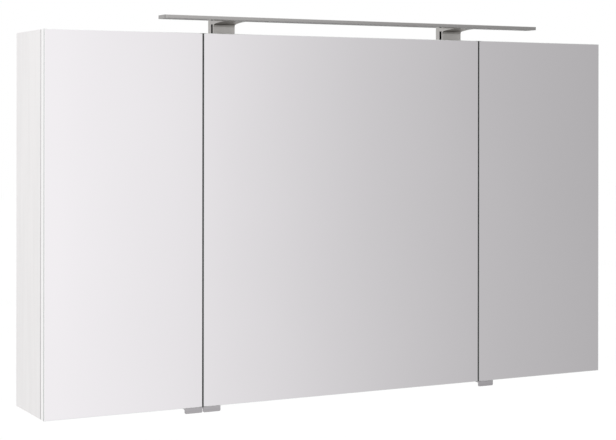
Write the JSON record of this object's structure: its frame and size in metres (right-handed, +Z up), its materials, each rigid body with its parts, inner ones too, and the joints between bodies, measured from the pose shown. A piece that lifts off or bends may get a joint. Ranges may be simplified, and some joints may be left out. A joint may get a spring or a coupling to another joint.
{
  "type": "lighted mirror cabinet",
  "caption": "Wall cabinet with mirror doors on concealed link hinges, glass shelves and a slim lamp bar on cast brackets over its top edge",
  "frame": {"origin": "on the wall plane, at the middle of the carcass's lower rear edge", "axes": "+X along the cabinet to the right as seen from the front, +Y into the wall, +Z up"},
  "size_m": [1.2, 0.2238, 0.7198],
  "materials": {
    "white_board": "white melamine-faced board, satin",
    "mirror_glass": "silvered float glass with a bevelled edge",
    "shelf_glass": "clear float glass, ground edges",
    "nickel_steel": "nickel-plated steel",
    "satin_pull": "satin nickel",
    "beech": "plain beech dowel",
    "lamp_aluminium": "satin anodised aluminium",
    "bracket_aluminium": "die cast, satin grey",
    "opal_plastic": "opal diffuser",
    "circuit_board": "white solder mask",
    "white_plastic": "moulded, fine texture",
    "grey_plastic": "moulded, matt",
    "black_plastic": "moulded, satin",
    "soft_rubber": "clear-grey soft stop",
    "black_rubber": "moulded rubber"
  },
  "bodies": {
    "carcass": {"side_panel_left": "white_board", "side_panel_right": "white_board", "top_panel": "white_board", "bottom_panel": "white_board", "partition_left": "white_board", "partition_right": "white_board", "back_panel": "white_board", "panel_dowels": "beech", "shelf_supports": "nickel_steel", "wall_hanger_housings": "grey_plastic", "wall_hanger_hooks": "nickel_steel", "hinge_plates": "nickel_steel", "door_bumpers": "soft_rubber", "lamp_brackets": "bracket_aluminium", "lamp_housing": "lamp_aluminium", "lamp_diffuser": "opal_plastic", "light_strip": "circuit_board", "lamp_end_caps": "lamp_aluminium", "lamp_driver": "grey_plastic", "switch_box_tray": "white_plastic", "switch_box_cover": "white_plastic", "cable_grommet": "black_rubber", "glass_shelves_left": "shelf_glass", "hinge_arms_left": "nickel_steel", "glass_shelves_middle": "shelf_glass", "hinge_arms_middle": "nickel_steel", "glass_shelves_right": "shelf_glass", "hinge_arms_right": "nickel_steel"},
    "door_left": {"door_panel_left": "white_board", "door_mirror_left": "mirror_glass", "door_pull_left": "satin_pull", "hinge_cups_left": "nickel_steel"},
    "outer_links_left": {"outer_links_left": "nickel_steel"},
    "inner_links_left": {"inner_links_left": "nickel_steel"},
    "door_middle": {"door_panel_middle": "white_board", "door_mirror_middle": "mirror_glass", "door_pull_middle": "satin_pull", "hinge_cups_middle": "nickel_steel"},
    "outer_links_middle": {"outer_links_middle": "nickel_steel"},
    "inner_links_middle": {"inner_links_middle": "nickel_steel"},
    "door_right": {"door_panel_right": "white_board", "door_mirror_right": "mirror_glass", "door_pull_right": "satin_pull", "hinge_cups_right": "nickel_steel"},
    "outer_links_right": {"outer_links_right": "nickel_steel"},
    "inner_links_right": {"inner_links_right": "nickel_steel"},
    "rocker_switch": {"rocker_switch": "black_plastic"}
  },
  "joints": [
    {"name": "door_left_swing", "type": "hinge", "parent": "outer_links_left", "child": "door_left", "pos_m": [-0.5873, -0.15131, 0], "axis": [0, 0, -1], "range_deg": [0, 150]},
    {"name": "outer_links_left_turn", "type": "hinge", "parent": "carcass", "child": "outer_links_left", "pos_m": [-0.569, -0.139, 0], "axis": [0, 0, -1], "range_deg": [-50.5, 0]},
    {"name": "inner_links_left_turn", "type": "hinge", "parent": "carcass", "child": "inner_links_left", "pos_m": [-0.558, -0.1391, 0], "axis": [0, 0, -1], "range_deg": [-44.9, 0]},
    {"name": "door_middle_swing", "type": "hinge", "parent": "outer_links_middle", "child": "door_middle", "pos_m": [0.2863, -0.15131, 0], "axis": [0, 0, 1], "range_deg": [0, 150]},
    {"name": "outer_links_middle_turn", "type": "hinge", "parent": "carcass", "child": "outer_links_middle", "pos_m": [0.268, -0.139, 0], "axis": [0, 0, 1], "range_deg": [-50.5, 0]},
    {"name": "inner_links_middle_turn", "type": "hinge", "parent": "carcass", "child": "inner_links_middle", "pos_m": [0.257, -0.1391, 0], "axis": [0, 0, 1], "range_deg": [-44.9, 0]},
    {"name": "door_right_swing", "type": "hinge", "parent": "outer_links_right", "child": "door_right", "pos_m": [0.5873, -0.15131, 0], "axis": [0, 0, 1], "range_deg": [0, 150]},
    {"name": "outer_links_right_turn", "type": "hinge", "parent": "carcass", "child": "outer_links_right", "pos_m": [0.569, -0.139, 0], "axis": [0, 0, 1], "range_deg": [-50.5, 0]},
    {"name": "inner_links_right_turn", "type": "hinge", "parent": "carcass", "child": "inner_links_right", "pos_m": [0.558, -0.1391, 0], "axis": [0, 0, 1], "range_deg": [-44.9, 0]},
    {"name": "rocker_tip", "type": "hinge", "parent": "carcass", "child": "rocker_switch", "pos_m": [0.1745, -0.109, 0.645], "axis": [-1, 0, 0], "range_deg": [0, 16]}
  ],
  "couplings": [
    {"joint": "outer_links_left_turn", "follows": "door_left_swing", "ratio": -0.33333},
    {"joint": "inner_links_left_turn", "follows": "door_left_swing", "ratio": -0.296},
    {"joint": "outer_links_middle_turn", "follows": "door_middle_swing", "ratio": -0.33333},
    {"joint": "inner_links_middle_turn", "follows": "door_middle_swing", "ratio": -0.296},
    {"joint": "outer_links_right_turn", "follows": "door_right_swing", "ratio": -0.33333},
    {"joint": "inner_links_right_turn", "follows": "door_right_swing", "ratio": -0.296}
  ]
}
